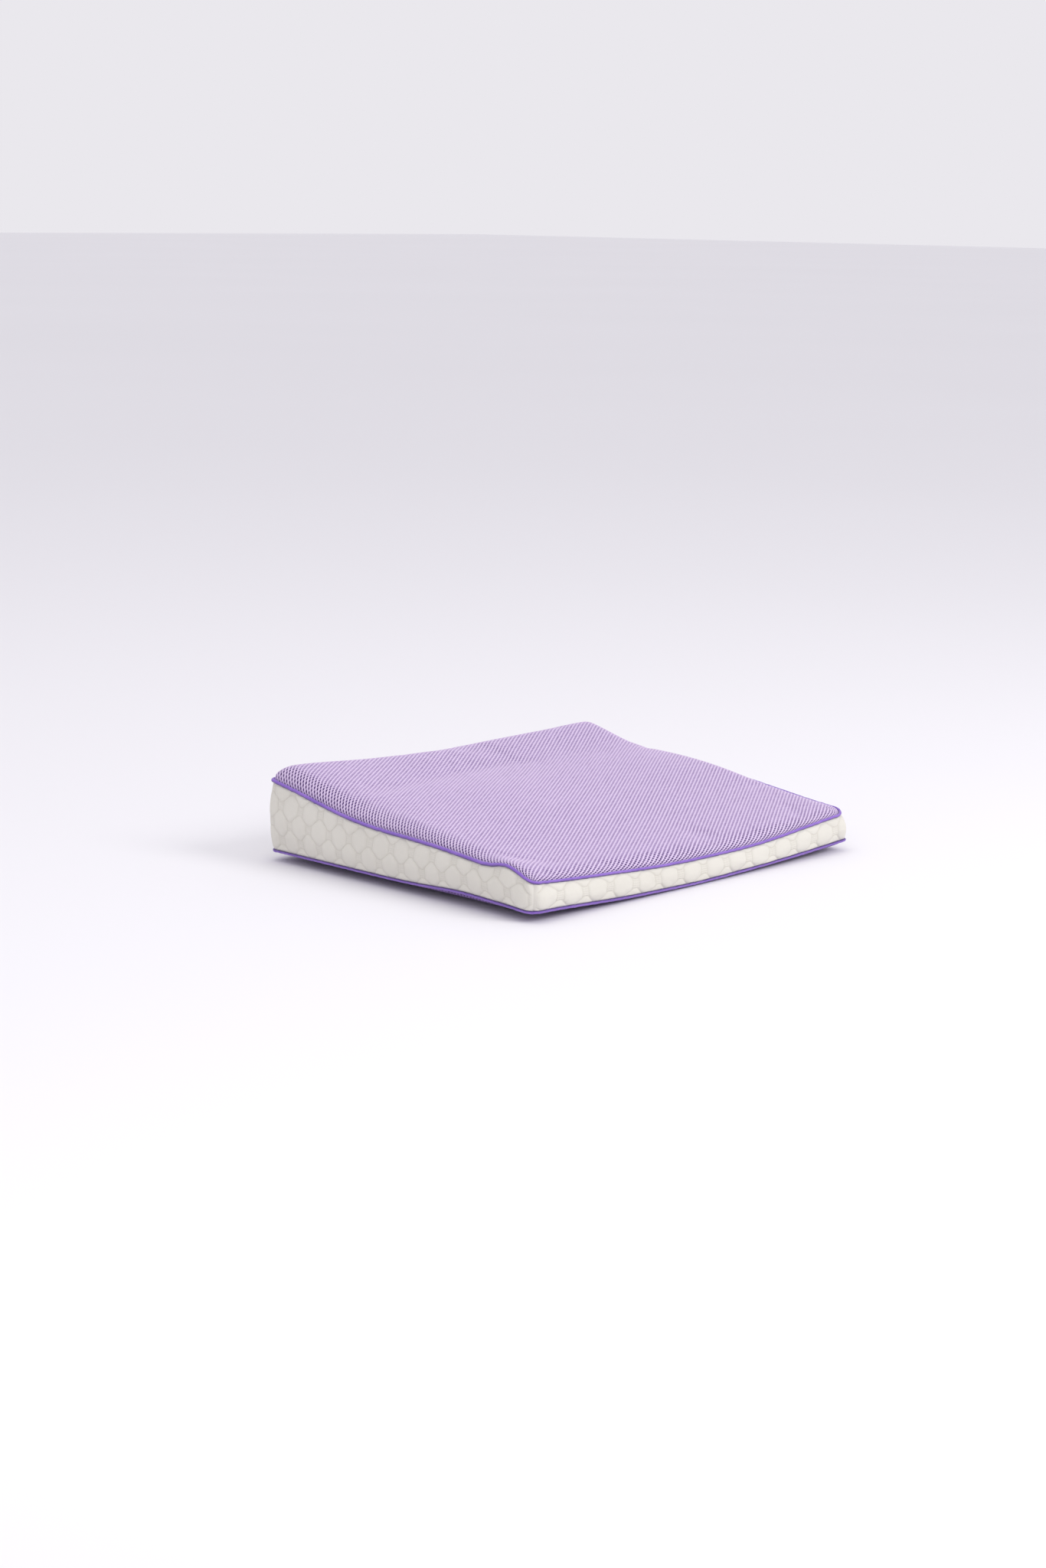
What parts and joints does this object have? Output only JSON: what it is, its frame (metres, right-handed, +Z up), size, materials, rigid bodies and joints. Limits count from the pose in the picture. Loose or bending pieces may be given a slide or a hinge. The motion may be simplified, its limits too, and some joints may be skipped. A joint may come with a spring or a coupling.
{
  "type": "wedge seat cushion",
  "caption": "Wedge seat cushion for an office chair: foam core in a piped spacer-mesh and quilted-band cover that opens with a zip across the back.",
  "frame": {"origin": "middle of the flat underside, on the surface that the cushion rests on", "axes": "+X to the sitter's left seen from above with the front at -Y, along the cushion's width; +Y from the thin front edge to the tall back edge; +Z up"},
  "size_m": [0.455, 0.3612, 0.0837],
  "materials": {
    "lilac_spacer_mesh": "matt knitted spacer mesh with small staggered oval holes",
    "purple_spacer_mesh": "matt knitted spacer mesh, darker, under the cushion",
    "cream_quilted_knit": "soft matt knit quilted in octagonal cells",
    "purple_piping": "satin woven piping",
    "white_cord": "twisted filler cord",
    "memory_foam": "open-cell polyurethane foam",
    "white_liner_knit": "thin matt jersey",
    "cream_zip_tape": "woven zip tape",
    "cream_zip_coil": "satin nylon coil",
    "nickel": "satin nickel plate"
  },
  "bodies": {
    "cushion": {"foam_core": "memory_foam", "inner_liner": "white_liner_knit", "top_mesh_panel": "lilac_spacer_mesh", "bottom_mesh_panel": "purple_spacer_mesh", "front_band": "cream_quilted_knit", "left_band": "cream_quilted_knit", "right_band": "cream_quilted_knit", "back_band_upper": "cream_quilted_knit", "back_band_lower": "cream_quilted_knit", "back_band_left_end": "cream_quilted_knit", "back_band_right_end": "cream_quilted_knit", "top_piping": "purple_piping", "top_piping_cord": "white_cord", "bottom_piping": "purple_piping", "bottom_piping_cord": "white_cord", "zip_tape_upper": "cream_zip_tape", "zip_tape_lower": "cream_zip_tape", "zip_coil_upper": "cream_zip_coil", "zip_coil_lower": "cream_zip_coil", "zip_top_stop_upper": "nickel", "zip_top_stop_lower": "nickel", "zip_bottom_stop": "nickel"},
    "slider": {"zip_slider": "nickel"},
    "pull_tab": {"zip_pull": "nickel"}
  },
  "joints": [
    {"name": "zip_slide", "type": "slide", "parent": "cushion", "child": "slider", "axis": [1, 0, 0], "range_m": [0, 0.326]},
    {"name": "pull_flip", "type": "hinge", "parent": "slider", "child": "pull_tab", "pos_m": [-0.163, 0.1804, 0.036], "axis": [0, 0, 1], "range_deg": [0, 175]}
  ]
}
